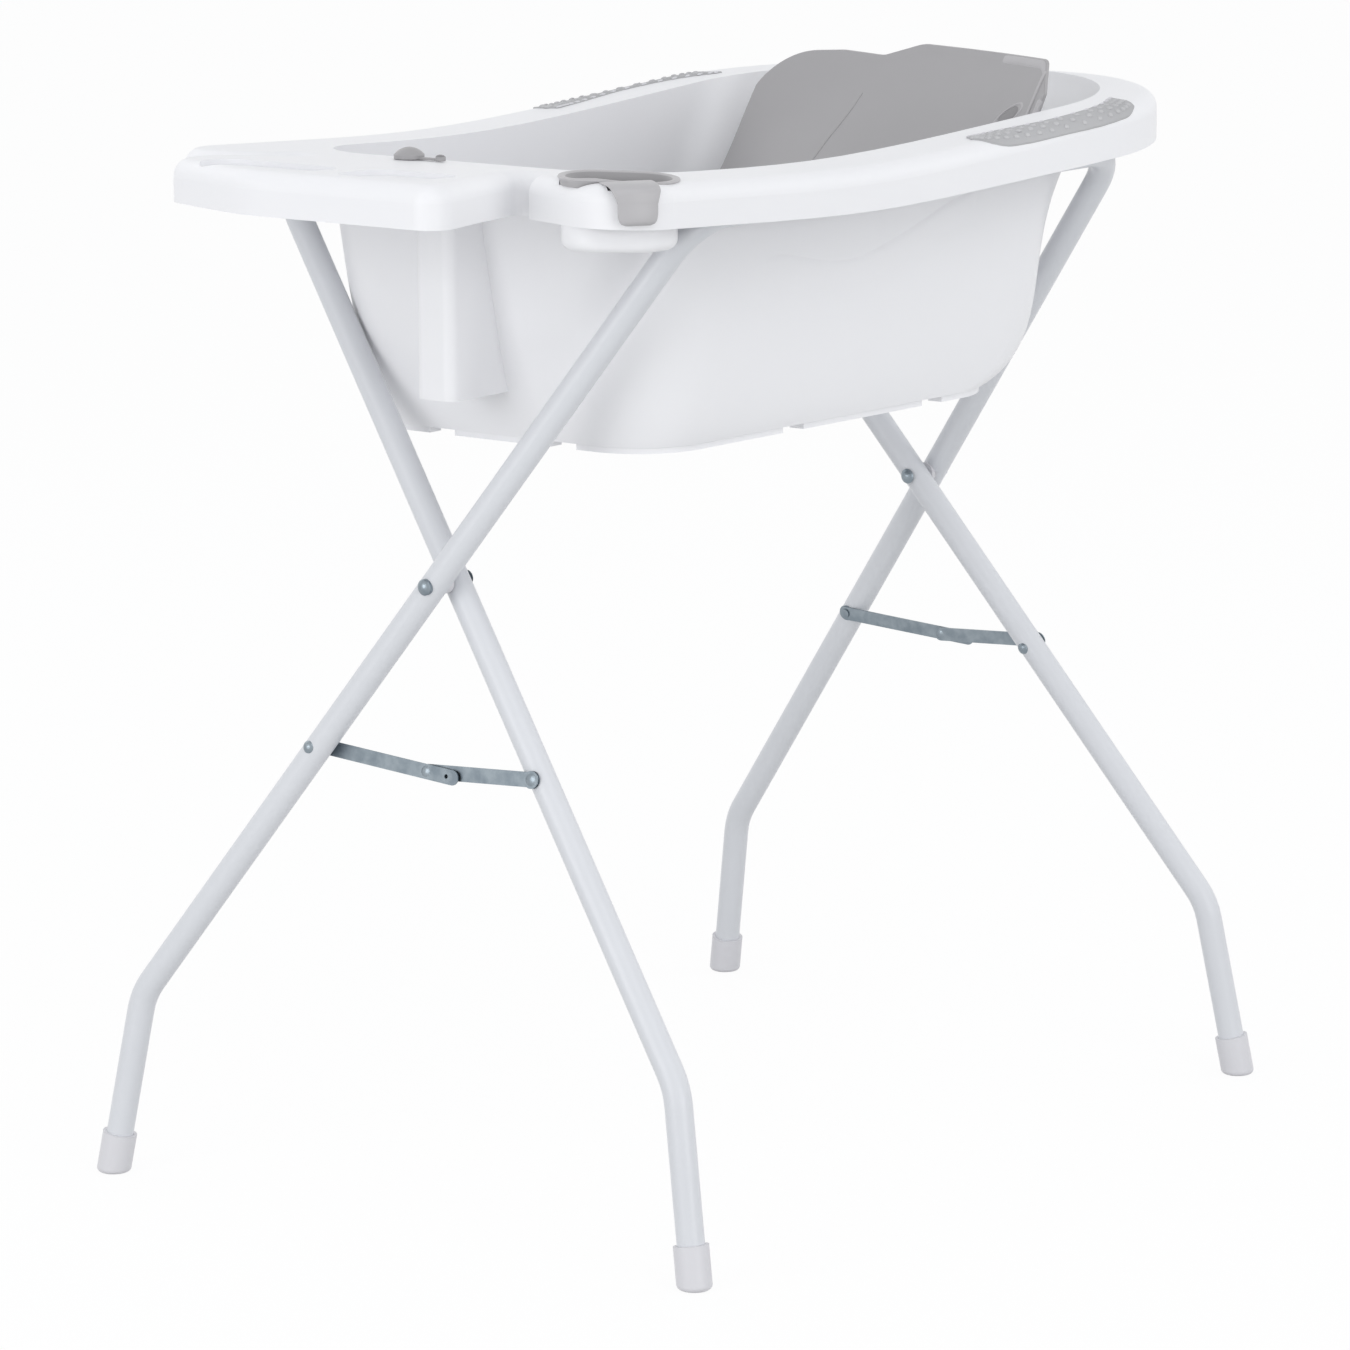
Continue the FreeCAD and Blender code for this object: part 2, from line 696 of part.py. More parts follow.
# Every node
nodes = {
    "bath_shell": make_bath(),
    "rim_grip_near": make_grip(-1),
    "rim_grip_far": make_grip(1),
    "rinse_cup": make_cup(),
    "drain_outlet": make_outlet(),
    "drain_plug": make_plug(),
    "recliner": make_recliner(),
    "outer_frame": make_frame(-1, 0),
    "inner_frame": make_frame(1, frame_pitch),
    "outer_brace_washers": make_outer_washers(),
    "inner_brace_washers": make_inner_washers(),
}
for frame, side, inset in (("outer", -1, 0), ("inner", 1, frame_pitch)):
    points = frame_points(side, inset)
    nodes[f"{frame}_foot_cap_foot_end"] = make_cap(points[0], points[1])
    nodes[f"{frame}_foot_cap_head_end"] = make_cap(points[-1], points[-2])
for place, end in (("foot_end", -1), ("head_end", 1)):
    nodes[f"pivot_rivet_{place}"] = make_pivot(end)
    nodes[f"pivot_spacer_{place}"] = make_spacer(end)
    nodes[f"brace_long_link_{place}"] = make_long_link(end)
    nodes[f"brace_short_link_{place}"] = make_short_link(end)
    nodes[f"brace_outer_rivet_{place}"] = make_outer_rivet(end)
    nodes[f"brace_inner_rivet_{place}"] = make_inner_rivet(end)
    nodes[f"brace_mid_rivet_head_{place}"] = make_mid_head(end)
    nodes[f"brace_mid_rivet_tail_{place}"] = make_mid_tail(end)

# The middle of the bath's length is put over the origin
middle_x = (tray_end_x+rim_head_x)/2
os.makedirs("parts", exist_ok=True)
for name, shape in nodes.items():
    shape.translate(V(-middle_x, 0, 0))
    shape.exportStep(f"parts/{name}.step")
    print(name, len(shape.Solids), shape.isValid(), round(shape.Volume/1000, 2))
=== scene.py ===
import json
import math

import bmesh
import bpy
from mathutils import Matrix, Vector
from mathutils.bvhtree import BVHTree


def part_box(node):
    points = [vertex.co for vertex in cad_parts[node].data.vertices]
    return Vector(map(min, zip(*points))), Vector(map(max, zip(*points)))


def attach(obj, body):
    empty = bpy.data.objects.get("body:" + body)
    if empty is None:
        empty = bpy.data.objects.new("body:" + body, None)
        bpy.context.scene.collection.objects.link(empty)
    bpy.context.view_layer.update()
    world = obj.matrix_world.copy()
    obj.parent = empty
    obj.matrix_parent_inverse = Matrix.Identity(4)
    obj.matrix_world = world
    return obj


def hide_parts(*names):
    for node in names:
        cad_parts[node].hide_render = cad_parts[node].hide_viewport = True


# Looks of a moulded baby bath on a folding stand of bent tube, over its CAD frame.
# X runs from the foot end to the head end, Y from the near side to the far side, Z up.  Sizes are metres.

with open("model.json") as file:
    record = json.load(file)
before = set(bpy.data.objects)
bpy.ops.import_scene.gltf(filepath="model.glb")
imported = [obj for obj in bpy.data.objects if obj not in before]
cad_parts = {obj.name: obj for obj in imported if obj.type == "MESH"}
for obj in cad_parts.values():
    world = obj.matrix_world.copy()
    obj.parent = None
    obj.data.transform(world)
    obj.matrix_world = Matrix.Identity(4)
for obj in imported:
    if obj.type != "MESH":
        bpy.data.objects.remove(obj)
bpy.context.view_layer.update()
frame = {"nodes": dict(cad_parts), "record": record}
nodes = frame["nodes"]

# Camera of the photograph; angles in radians
CAM_AT = (-3.7373, -2.89243, 1.33741)
CAM_YAW = 0.9113
CAM_PITCH = 0.1987
CAM_ROLL = -0.0071
FOCAL_PX = 5807.29
FRAME_PX = 1350.0
SENSOR_MM = 36.0

# Rim of the bath
RIM_HALF = 0.243
RIM_HEAD_X = 0.4675
RIM_HEAD_R = 0.178
RIM_EDGE_R = 0.014
RIM_FLAT_IN = 0.004
ABOVE_RIM = 1.2
CLEAR_OF_RIM = 0.06

# Grip strips: x and place across the rim of the outer edge, then of the inner edge.
# Place 0 is where the rim's round edge starts; places beyond it follow the round.
GRIP = [(0.1085, -0.0165, 0.1095, -0.0172), (0.1030, -0.0045, 0.115, -0.0170),
        (0.1045, 0.0066, 0.124, -0.0165), (0.1240, 0.0150, 0.143, -0.0152),
        (0.156, 0.0176, 0.174, -0.0105), (0.1985, 0.0181, 0.212, -0.0062),
        (0.2576, 0.019, 0.262, -0.007), (0.290, 0.0181, 0.298, -0.013),
        (0.304, 0.0166, 0.322, -0.0195), (0.3185, 0.0105, 0.331, -0.0205)]
GRIP_COLUMNS = 88
GRIP_COLUMN_STEP = 0.00175
GRIP_ACROSS = (0.0, 0.03, 0.07, 0.12, 0.2, 0.35, 0.5, 0.65, 0.8, 0.88, 0.93, 0.97, 1.0)
GRIP_SINK = 0.0003
GRIP_RISE = 0.0016
GRIP_EDGE_R = 0.0009
GRIP_BORDER = 0.0012
GRIP_DISH = 0.0004
GRIP_DISH_SLOPE = 0.001
# Studs, and ridges whose light colour is a painted highlight: length, width and height
STUD = (0.0062, 0.0046, 0.0012)
RIDGE = (0.0086, 0.0022, 0.0011)
STUD_COLUMNS = 18
# Columns of the strip left free of studs and ridges at its two ends
STUD_FREE = (9, 6)
RIDGE_FREE = (6, 6)
STUD_ROWS = (0.3, 0.52, 0.74)
STUD_BASE = 0.0009
STUD_MARGIN = 0.0028
RIDGE_ROW = 0.05

# Step moulded on the side walls: x and z of its line, then height and proudness of its profile
WAVE = [(-0.140, 0.751), (-0.108, 0.756), (-0.089, 0.756), (-0.070, 0.752), (-0.045, 0.747),
        (-0.022, 0.744), (0.000, 0.744), (0.025, 0.7485), (0.057, 0.757), (0.090, 0.767),
        (0.116, 0.776), (0.139, 0.781), (0.165, 0.786)]
WAVE_PROFILE = [(0.005, -0.0005), (0.0032, 0.0), (0.0015, 0.0006), (-0.0005, 0.0011),
                (-0.003, 0.0013), (-0.007, 0.0012), (-0.014, 0.0007), (-0.026, -0.0004)]
WAVE_COLUMNS = 120
WAVE_FADE = (18, 10)
WAVE_SINK = 0.0004
OUTSIDE_WALL = 0.24

# Rinse cup
CUP_AT = (-0.3175, -0.191)
CUP_TURN = math.radians(-54.0)
CUP_HALF_LONG = 0.040
CUP_HALF_SHORT = 0.028
CUP_CORNER_R = 0.026
CUP_POINTS = 96
CUP_DEPTH = 0.046
CUP_BOX_OVER_SEAT = 0.003
CUP_DENT = 0.0022
CUP_DENT_REACH = 0.011
# The lip tilts with the rim below it and clears the rim's high part beside the strap
LIP_RISE = 0.0031
LIP_TILT = 0.030
LIP_HUMP = 0.0019
LIP_HUMP_AT = (-0.024, 0.021)
LIP_HUMP_REACH = 0.015
# Strap handle: distance from the cup's middle and height over the seat, along its path
STRAP_TURN = math.radians(-36.9)
STRAP_PATH = [(0.0285, 0.0042), (0.036, 0.0044), (0.046, 0.0036), (0.0525, 0.0006),
              (0.0545, -0.006), (0.0546, -0.014), (0.0547, -0.0255)]
STRAP_STEPS = 36
STRAP_HALF = 0.0182
STRAP_NARROWS = 0.0026
STRAP_NARROW_STEPS = (19, 8)
STRAP_FLARE = 0.0052
STRAP_FLARE_STEPS = 24
STRAP_CORNER = 0.006
STRAP_CORNER_STEPS = 5
STRAP_HALF_THICK = 0.0011
# Section of the strap, in shares of its half width and half thickness
STRAP_SECTION = [(-1.0, 0.3), (-0.94, 1.0), (0.94, 1.0), (1.0, 0.3),
                 (1.0, -0.3), (0.94, -1.0), (-0.94, -1.0), (-1.0, -0.3)]

# Recliner: y and z places on its front face, which is looked at from a plane before it
RECLINER_FRONT = -0.1
# Folds: radius, then y and z places of beads whose lighter edge grey paints highlight streaks along them
FOLDS = [(0.0016, [(-0.1385, 0.770), (-0.1385, 0.868)]), (0.0026, [(-0.1475, 0.760), (-0.1475, 0.846)])]
CREASE = (0.0005, [(0.0525, 0.768), (0.0512, 0.800), (0.0469, 0.823), (0.0450, 0.840)])
LINE_STEPS = 40
FLANGE_Y = -0.082
FLANGE_LONG = 0.058
FLANGE_HIGH = 0.0072
FLANGE_PROUD = 0.0011
FLANGE_SINK = 0.0002
FLANGE_ROWS = 6
FLANGE_COLUMNS = 30
FLANGE_FADE = (5, 3)
TOP_SEARCH_Z = 0.85
TOP_SEARCH_STEP = 0.0003
SLOT_AT = (-0.117, 0.830)
SLOT_SLOPE = (0.016, -0.020, 0.018)
SLOT = (0.031, 0.013, 0.0005)
SLOT_RIM_HALF_LONG = 0.0165
SLOT_RIM_HALF_SHORT = 0.0075
SLOT_RIM_WIDE = 0.1
SLOT_RIM_HIGH = 0.0008
SLOT_RIM_POINTS = 40
SLOT_RIM_SIDES = 8

# Dark dome on the plug's strap: length, width and height, and its middle over the plug's box
TIP = (0.0078, 0.0066, 0.0016)
TIP_IN_Y = 0.0042
TIP_UP = 0.0032

HEADWARD = Vector((1.0, 0.0, 0.0))
DOWN = Vector((0.0, 0.0, -1.0))
# A direction that no bead runs along
ASKEW = Vector((0.31, 0.2, 0.93))


def set_camera():
    forward = Vector((math.sin(CAM_YAW)*math.cos(CAM_PITCH), math.cos(CAM_YAW)*math.cos(CAM_PITCH),
                      -math.sin(CAM_PITCH)))
    right = Vector((math.cos(CAM_YAW), -math.sin(CAM_YAW), 0.0))
    up = right.cross(forward)
    c, s = math.cos(CAM_ROLL), math.sin(CAM_ROLL)
    right, up = right*c+up*s, up*c-right*s
    data = bpy.data.cameras.new("camera")
    data.sensor_width = SENSOR_MM
    data.sensor_fit = "HORIZONTAL"
    data.lens = FOCAL_PX*SENSOR_MM/FRAME_PX
    data.clip_end = 50.0
    camera = bpy.data.objects.new("camera", data)
    bpy.context.scene.collection.objects.link(camera)
    matrix = Matrix((right, up, -forward)).transposed().to_4x4()
    matrix.translation = Vector(CAM_AT)
    camera.matrix_world = matrix
    bpy.context.scene.camera = camera


# Materials: scales of the noise that varies tone, gloss and grain.
# Roughness stays over 0.28, because noise across a lower value blotches the render.
GRAIN_DEPTH = 0.0002
MOULDED_TONE = 6.0
MOULDED_GLOSS = 24.0
METAL_TONE = 90.0
METAL_GLOSS = 260.0
METAL_GRAIN = 700.0


def new_material(name, color, roughness):
    material = bpy.data.materials.new(name)
    material.use_nodes = True
    tree = material.node_tree
    shader = tree.nodes["Principled BSDF"]
    shader.inputs["Base Color"].default_value = (*color, 1.0)
    shader.inputs["Roughness"].default_value = roughness
    return material, tree, shader


def noise(tree, scale, detail):
    coords = tree.nodes.new("ShaderNodeTexCoord")
    texture = tree.nodes.new("ShaderNodeTexNoise")
    texture.inputs["Scale"].default_value = scale
    texture.inputs["Detail"].default_value = detail
    tree.links.new(coords.outputs["Object"], texture.inputs["Vector"])
    return texture


def vary_color(tree, shader, texture, dark, light):
    ramp = tree.nodes.new("ShaderNodeValToRGB")
    ramp.color_ramp.elements[0].position = 0.35
    ramp.color_ramp.elements[0].color = (*dark, 1.0)
    ramp.color_ramp.elements[1].position = 0.65
    ramp.color_ramp.elements[1].color = (*light, 1.0)
    tree.links.new(texture.outputs["Fac"], ramp.inputs["Fac"])
    tree.links.new(ramp.outputs["Color"], shader.inputs["Base Color"])


def vary_roughness(tree, shader, texture, low, high):
    span = tree.nodes.new("ShaderNodeMapRange")
    span.inputs["To Min"].default_value = low
    span.inputs["To Max"].default_value = high
    tree.links.new(texture.outputs["Fac"], span.inputs["Value"])
    tree.links.new(span.outputs["Result"], shader.inputs["Roughness"])


def bump(tree, shader, texture, strength, distance, edge=0.0):
    """Fine surface grain, over edges that are rounded by the edge radius."""
    node = tree.nodes.new("ShaderNodeBump")
    node.inputs["Strength"].default_value = strength
    node.inputs["Distance"].default_value = distance
    tree.links.new(texture.outputs["Fac"], node.inputs["Height"])
    if edge:
        rounding = tree.nodes.new("ShaderNodeBevel")
        rounding.samples = 6
        rounding.inputs["Radius"].default_value = edge
        tree.links.new(rounding.outputs["Normal"], node.inputs["Normal"])
    tree.links.new(node.outputs["Normal"], shader.inputs["Normal"])


def moulded(name, dark, light, rough_low, rough_high, grain, grain_strength, edge=0.0, specular=0.5):
    material, tree, shader = new_material(name, light, rough_low)
    vary_color(tree, shader, noise(tree, MOULDED_TONE, 2.0), dark, light)
    vary_roughness(tree, shader, noise(tree, MOULDED_GLOSS, 4.0), rough_low, rough_high)
    bump(tree, shader, noise(tree, grain, 2.0), grain_strength, GRAIN_DEPTH, edge)
    shader.inputs["Specular IOR Level"].default_value = specular
    return material


def metal(name, dark, light, rough_low, rough_high):
    material, tree, shader = new_material(name, light, rough_low)
    shader.inputs["Metallic"].default_value = 1.0
    vary_color(tree, shader, noise(tree, METAL_TONE, 4.0), dark, light)
    vary_roughness(tree, shader, noise(tree, METAL_GLOSS, 4.0), rough_low, rough_high)
    bump(tree, shader, noise(tree, METAL_GRAIN, 2.0), 0.12, GRAIN_DEPTH)
    return material


white_shell = moulded("white_shell", (0.888, 0.889, 0.906), (0.898, 0.899, 0.915), 0.34, 0.42, 900.0, 0.012,
                      specular=0.25)
grey_plastic = moulded("grey_plastic", (0.37, 0.363, 0.37), (0.394, 0.386, 0.394), 0.36, 0.48, 1400.0, 0.08,
                       edge=0.001)
grip_grey = moulded("grip_grey", (0.43, 0.43, 0.44), (0.48, 0.48, 0.49), 0.5, 0.62, 1800.0, 0.15, edge=0.0006)
stud_grey = moulded("stud_grey", (0.5, 0.5, 0.51), (0.56, 0.56, 0.57), 0.42, 0.55, 1800.0, 0.1)
cup_grey = moulded("cup_grey", (0.475, 0.467, 0.478), (0.5, 0.49, 0.502), 0.34, 0.44, 1400.0, 0.06, edge=0.0006)
# Darker grey of the cup's inside: painted shade in its hollow
cup_inside_shade = moulded("cup_inside_shade", (0.33, 0.323, 0.332), (0.36, 0.352, 0.36), 0.4, 0.5, 1400.0, 0.06)
# Lighter than grey_plastic: painted highlight on the recliner's folds, flange and slot rim; the cup's lip takes
# it too
edge_grey = moulded("edge_grey", (0.46, 0.45, 0.46), (0.49, 0.48, 0.49), 0.34, 0.44, 1400.0, 0.06)
dark_grey = moulded("dark_grey", (0.24, 0.235, 0.242), (0.28, 0.274, 0.28), 0.4, 0.55, 1400.0, 0.08)
white_coat = moulded("white_coat", (0.69, 0.705, 0.735), (0.71, 0.725, 0.755), 0.29, 0.36, 600.0, 0.06)
white_cap = moulded("white_cap", (0.69, 0.686, 0.715), (0.71, 0.706, 0.732), 0.35, 0.45, 1200.0, 0.08,
                    edge=0.0012)
zinc = metal("zinc", (0.21, 0.25, 0.285), (0.30, 0.345, 0.38), 0.29, 0.42)

by_slot = {"shell": white_shell, "grey_plastic": grey_plastic, "grip": grip_grey,
           "tube": white_coat, "cap": white_cap, "zinc": zinc}
for row in frame["record"]["subparts"]:
    piece = nodes[row["node"]]
    piece.data.materials.clear()
    piece.data.materials.append(by_slot[row["material_slot"]])


# Mesh helpers
def surface_of(node):
    mesh = nodes[node].data
    matrix = nodes[node].matrix_world
    points = [matrix @ v.co for v in mesh.vertices]
    return BVHTree.FromPolygons(points, [list(p.vertices) for p in mesh.polygons])


def add_piece(name, mesh, material, body):
    piece = mesh_object(name, mesh, material)
    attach(piece, body)
    return piece


def mesh_object(name, mesh, material):
    data = bpy.data.meshes.new(name)
    bmesh.ops.recalc_face_normals(mesh, faces=mesh.faces)
    mesh.to_mesh(data)
    mesh.free()
    for polygon in data.polygons:
        polygon.use_smooth = True
    data.materials.append(material)
    piece = bpy.data.objects.new(name, data)
    bpy.context.scene.collection.objects.link(piece)
    return piece


def smooth_between(points, count):
    """Evenly spread points of a smooth curve through the given ones."""
    out = []
    last = len(points)-1
    for i in range(count+1):
        t = i/count*last
        k = min(int(t), last-1)
        u = t-k
        p0, p1 = points[max(k-1, 0)], points[k]
        p2, p3 = points[k+1], points[min(k+2, last)]
        out.append(tuple(0.5*(2*b+(c-a)*u+(2*a-5*b+4*c-d)*u*u+(3*b-a-3*c+d)*u**3)
                         for a, b, c, d in zip(p0, p1, p2, p3)))
    return out


def skin_rows(mesh, rows, closed):
    """Faces between rows of points; closed joins each row's last point to its first."""
    made = [[mesh.verts.new(p) for p in row] for row in rows]
    for a, b in zip(made, made[1:]):
        count = len(a)
        for i in range(count if closed else count-1):
            j = (i+1) % count
            mesh.faces.new((a[i], a[j], b[j], b[i]))
    return made


def cap_ends(mesh, made):
    mesh.faces.new(made[0])
    mesh.faces.new(made[-1][::-1])


def directions(normal, along):
    """Up, forward and sideways on a surface, with forward as near along as the surface lets it."""
    up = normal.normalized()
    forward = (along-up*along.dot(up)).normalized()
    return up, forward, up.cross(forward)


def dome_on(mesh, at, normal, along, length, width, height, sides=10):
    """Low oval stud with a round crown, on a surface."""
    up, forward, side = directions(normal, along)
    rings = []
    for degrees in (-12, 18, 48, 78):
        angle = math.radians(degrees)
        reach = math.cos(angle)
        lift = math.sin(angle)*height
        ring = []
        for i in range(sides):
            turn = 2*math.pi*i/sides
            ring.append(at+forward*(length/2*reach*math.cos(turn))
                        + side*(width/2*reach*math.sin(turn))+up*lift)
        rings.append(ring)
    made = skin_rows(mesh, rings, True)
    crown = mesh.verts.new(at+up*height)
    for i in range(sides):
        mesh.faces.new((made[-1][i], made[-1][(i+1) % sides], crown))


def bead(mesh, points, radius, sides=8):
    """Round bead along points that tapers to closed ends."""
    rows = []
    last = len(points)-1
    for i, p in enumerate(points):
        along = (points[min(i+1, last)]-points[max(i-1, 0)]).normalized()
        side = along.cross(ASKEW).normalized()
        up = side.cross(along)
        r = radius*min(1.0, math.sqrt((min(i, last-i)+0.02)/2.0))
        turns = [2*math.pi*k/sides for k in range(sides)]
        rows.append([p+side*(r*math.cos(turn))+up*(r*math.sin(turn)) for turn in turns])
    cap_ends(mesh, skin_rows(mesh, rows, True))


# Grips on the rim
def rim_half(x):
    over = max(0.0, x-(RIM_HEAD_X-RIM_HEAD_R))
    return RIM_HALF-(RIM_HEAD_R-math.sqrt(RIM_HEAD_R**2-over**2))


def rim_point(side, x, place, surface):
    """Point and normal on the rim, inward of its round edge where place is negative."""
    inner = side*(rim_half(x)-RIM_EDGE_R)
    if place <= 0:
        at, normal, _, _ = surface.ray_cast(Vector((x, inner+side*place, ABOVE_RIM)), DOWN)
        return at, normal
    top = surface.ray_cast(Vector((x, inner-side*RIM_FLAT_IN, ABOVE_RIM)), DOWN)[0]
    angle = place/RIM_EDGE_R
    out = Vector((0.0, side*math.sin(angle), math.cos(angle)))
    middle = Vector((x, inner, top.z-RIM_EDGE_R))
    at, normal, _, _ = surface.ray_cast(middle+out*CLEAR_OF_RIM, -out)
    return at, normal


def grip_strip(side, name, surface):
    """Soft strip with a raised border, rows of oval studs, and ridges along its inner edge whose light cap
    colour is a painted highlight.
    """
    columns = smooth_between(GRIP, GRIP_COLUMNS)
    last = len(columns)-1

    def spot(i, v):
        """Point and normal at column i and share v across the strip, and how far its edge is."""
        low = min(int(i), last-1)
        xo, co, xi, ci = (a+(b-a)*(i-low) for a, b in zip(columns[low], columns[low+1]))
        at, normal = rim_point(side, xi+(xo-xi)*v, ci+(co-ci)*v, surface)
        width = math.hypot(xo-xi, co-ci)
        edge = min(v*width, (1-v)*width, GRIP_COLUMN_STEP*min(i, last-i))
        return at, normal, edge

    rows = []
    for v in GRIP_ACROSS:
        row = []
        for i in range(last+1):
            at, normal, edge = spot(i, v)
            near = min(edge/GRIP_EDGE_R, 1.0)
            dish = min(max((edge-GRIP_BORDER)/GRIP_DISH_SLOPE, 0.0), 1.0)
            row.append(at+normal*(GRIP_RISE*math.sqrt(1-(1-near)**2)-GRIP_DISH*dish-GRIP_SINK))
        rows.append(row)
    strip = bmesh.new()
    skin_rows(strip, rows, False)
    piece = add_piece(f"grip_strip_{name}", strip, grip_grey, "bath")
    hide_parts(f"rim_grip_{name}")
    studs = bmesh.new()
    glint_ridges = bmesh.new()
    for k in range(STUD_COLUMNS):
        for row, v in enumerate(STUD_ROWS):
            i = STUD_FREE[0]+(last-sum(STUD_FREE))*(k+0.5*(row % 2))/(STUD_COLUMNS-0.5)
            at, normal, edge = spot(i, v)
            if edge > STUD_MARGIN:
                dome_on(studs, at+normal*STUD_BASE, normal, HEADWARD, *STUD)
        i = RIDGE_FREE[0]+(last-sum(RIDGE_FREE))*k/(STUD_COLUMNS-1)
        at, normal, edge = spot(i, RIDGE_ROW)
        dome_on(glint_ridges, at+normal*STUD_BASE, normal, HEADWARD, *RIDGE)
    add_piece(f"grip_studs_{name}", studs, stud_grey, "bath")
    # Ridges in the caps' light white: painted highlight along the strip's inner edge
    add_piece(f"grip_ridges_{name}", glint_ridges, white_cap, "bath")


# Step moulded along the side walls
def wall_step(side, name, surface):
    columns = smooth_between(WAVE, WAVE_COLUMNS)
    rows = []
    for rise, proud in WAVE_PROFILE:
        row = []
        for i, (x, z) in enumerate(columns):
            fade = min(1.0, i/WAVE_FADE[0], (WAVE_COLUMNS-i)/WAVE_FADE[1])
            fade = fade*fade*(3-2*fade)
            start = Vector((x, side*OUTSIDE_WALL, z+rise))
            at, normal, _, _ = surface.ray_cast(start, Vector((0.0, -side, 0.0)))
            row.append(at+normal*(proud*fade-WAVE_SINK*(1-fade)))
        rows.append(row)
    mesh = bmesh.new()
    skin_rows(mesh, rows, False)
    add_piece(f"wall_step_{name}", mesh, white_shell, "bath")


# Rinse cup with a flanged lip, a dent under its strap and a bent strap handle
def cup_outline():
    """Stadium with round corners, dented towards the strap, in the cup's own axes."""
    r = CUP_CORNER_R
    handle = Vector((math.sin(STRAP_TURN-CUP_TURN), -math.cos(STRAP_TURN-CUP_TURN)))
    points = []
    for i in range(CUP_POINTS):
        angle = 2*math.pi*i/CUP_POINTS
        c, s = math.cos(angle), math.sin(angle)
        point = Vector((math.copysign(CUP_HALF_LONG-r, c)+r*c if abs(c) > 1e-6 else 0.0,
                        math.copysign(CUP_HALF_SHORT-r, s)+r*s if abs(s) > 1e-6 else 0.0))
        off = point-handle*point.dot(handle)
        if point.dot(handle) > 0:
            point = point-handle*(CUP_DENT*math.exp(-(off.length/CUP_DENT_REACH)**2))
        points.append(point)
    return points


def cup_walls(mesh, seat, out, across):
    """Outside, lip and inside of the cup in one skin; the lip takes slot 2 and the inside slot 1, a darker grey
    that paints the shade inside the cup.
    """
    floor = seat-CUP_DEPTH
    outline = cup_outline()
    turn = Matrix.Rotation(CUP_TURN, 2)
    normals = []
    for i in range(CUP_POINTS):
        along = (outline[(i+2) % CUP_POINTS]-outline[i-2]).normalized()
        normals.append(Vector((along.y, -along.x)))

    def ring(inset, z, share):
        """Outline at a height, with a share of the lip's tilt and hump."""
        row = []
        for p, n in zip(outline, normals):
            q = turn @ (p-n*inset)
            u, v = q.x*across.x+q.y*across.y, q.x*out.x+q.y*out.y
            off = math.hypot(u-LIP_HUMP_AT[0], v-LIP_HUMP_AT[1])
            rise = LIP_RISE-LIP_TILT*(u+v)+LIP_HUMP*math.exp(-(off/LIP_HUMP_REACH)**2)
            row.append(Vector((CUP_AT[0]+q.x, CUP_AT[1]+q.y, z+max(rise*share, 0.0))))
        return row

    outside = [(0.011, floor, 0.0), (0.007, floor+0.0005, 0.0), (0.0052, floor+0.0025, 0.0),
               (0.0042, floor+0.008, 0.0), (0.0004, seat-0.003, 0.0), (-0.001, seat-0.0006, 0.0),
               (-0.0042, seat+0.0001, 0.0), (-0.0044, seat+0.0003, 0.9)]
    lip = [(-0.0056, seat+0.0005, 1.0), (-0.0063, seat+0.0013, 1.0), (-0.0058, seat+0.0022, 1.0),
           (-0.0042, seat+0.0027, 1.0), (-0.0016, seat+0.0025, 1.0), (-0.0004, seat+0.0016, 1.0)]
    inside = [(0.0022, seat-0.003, 0.9), (0.0062, floor+0.009, 0.0), (0.0074, floor+0.0045, 0.0),
              (0.0098, floor+0.0026, 0.0), (0.014, floor+0.002, 0.0)]
    made = skin_rows(mesh, [ring(*one) for one in outside+lip+inside], True)
    cap_ends(mesh, made)
    lip_end = len(outside)+len(lip)
    lip_points = {v for row in made[len(outside):lip_end] for v in row}
    inside_points = {v for row in made[lip_end-1:] for v in row}
    for face in mesh.faces:
        if inside_points.issuperset(face.verts):
            face.material_index = 1
        elif lip_points.issuperset(face.verts):
            face.material_index = 2


def cup_strap(mesh, seat, out, across):
    """Flat strap from the lip over the rim and down, wider at its root, with round lower corners."""
    start = Vector((*CUP_AT, seat))
    path = smooth_between(STRAP_PATH, STRAP_STEPS)
    rows = []
    for i, (d, z) in enumerate(path):
        d0, z0 = path[max(i-1, 0)]
        d1, z1 = path[min(i+1, STRAP_STEPS)]
        length = math.hypot(d1-d0, z1-z0)
        nd, nz = -(z1-z0)/length, (d1-d0)/length
        narrow_from, narrow_over = STRAP_NARROW_STEPS
        half = STRAP_HALF-STRAP_NARROWS*min(1.0, max(0.0, (i-narrow_from)/narrow_over))
        corner = max(0.0, 1-(STRAP_STEPS-i)/STRAP_CORNER_STEPS)
        half -= STRAP_CORNER*(1-math.sqrt(1-corner**2))
        flare = STRAP_FLARE*max(0.0, 1-i/STRAP_FLARE_STEPS)
        row = []
        for u, v in STRAP_SECTION:
            lift = STRAP_HALF_THICK*v
            wide = half+flare if u < 0.0 else half
            row.append(start+out*(d+nd*lift)+across*(wide*u)+Vector((0.0, 0.0, z+nz*lift)))
        rows.append(row)
    cap_ends(mesh, skin_rows(mesh, rows, True))


def make_cup():
    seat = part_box("rinse_cup")[1][2]-CUP_BOX_OVER_SEAT
    out = Vector((math.sin(STRAP_TURN), -math.cos(STRAP_TURN), 0.0))
    across = Vector((math.cos(STRAP_TURN), math.sin(STRAP_TURN), 0.0))
    mesh = bmesh.new()
    cup_walls(mesh, seat, out, across)
    cup_strap(mesh, seat, out, across)
    cup = add_piece("rinse_cup_moulding", mesh, cup_grey, "rinse_cup")
    # Slot 1, the inside: painted shade
    cup.data.materials.append(cup_inside_shade)
    cup.data.materials.append(edge_grey)
    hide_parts("rinse_cup")


# Relief on the recliner
def on_recliner(surface, y, z):
    at, normal, _, _ = surface.ray_cast(Vector((RECLINER_FRONT, y, z)), HEADWARD)
    return at, normal


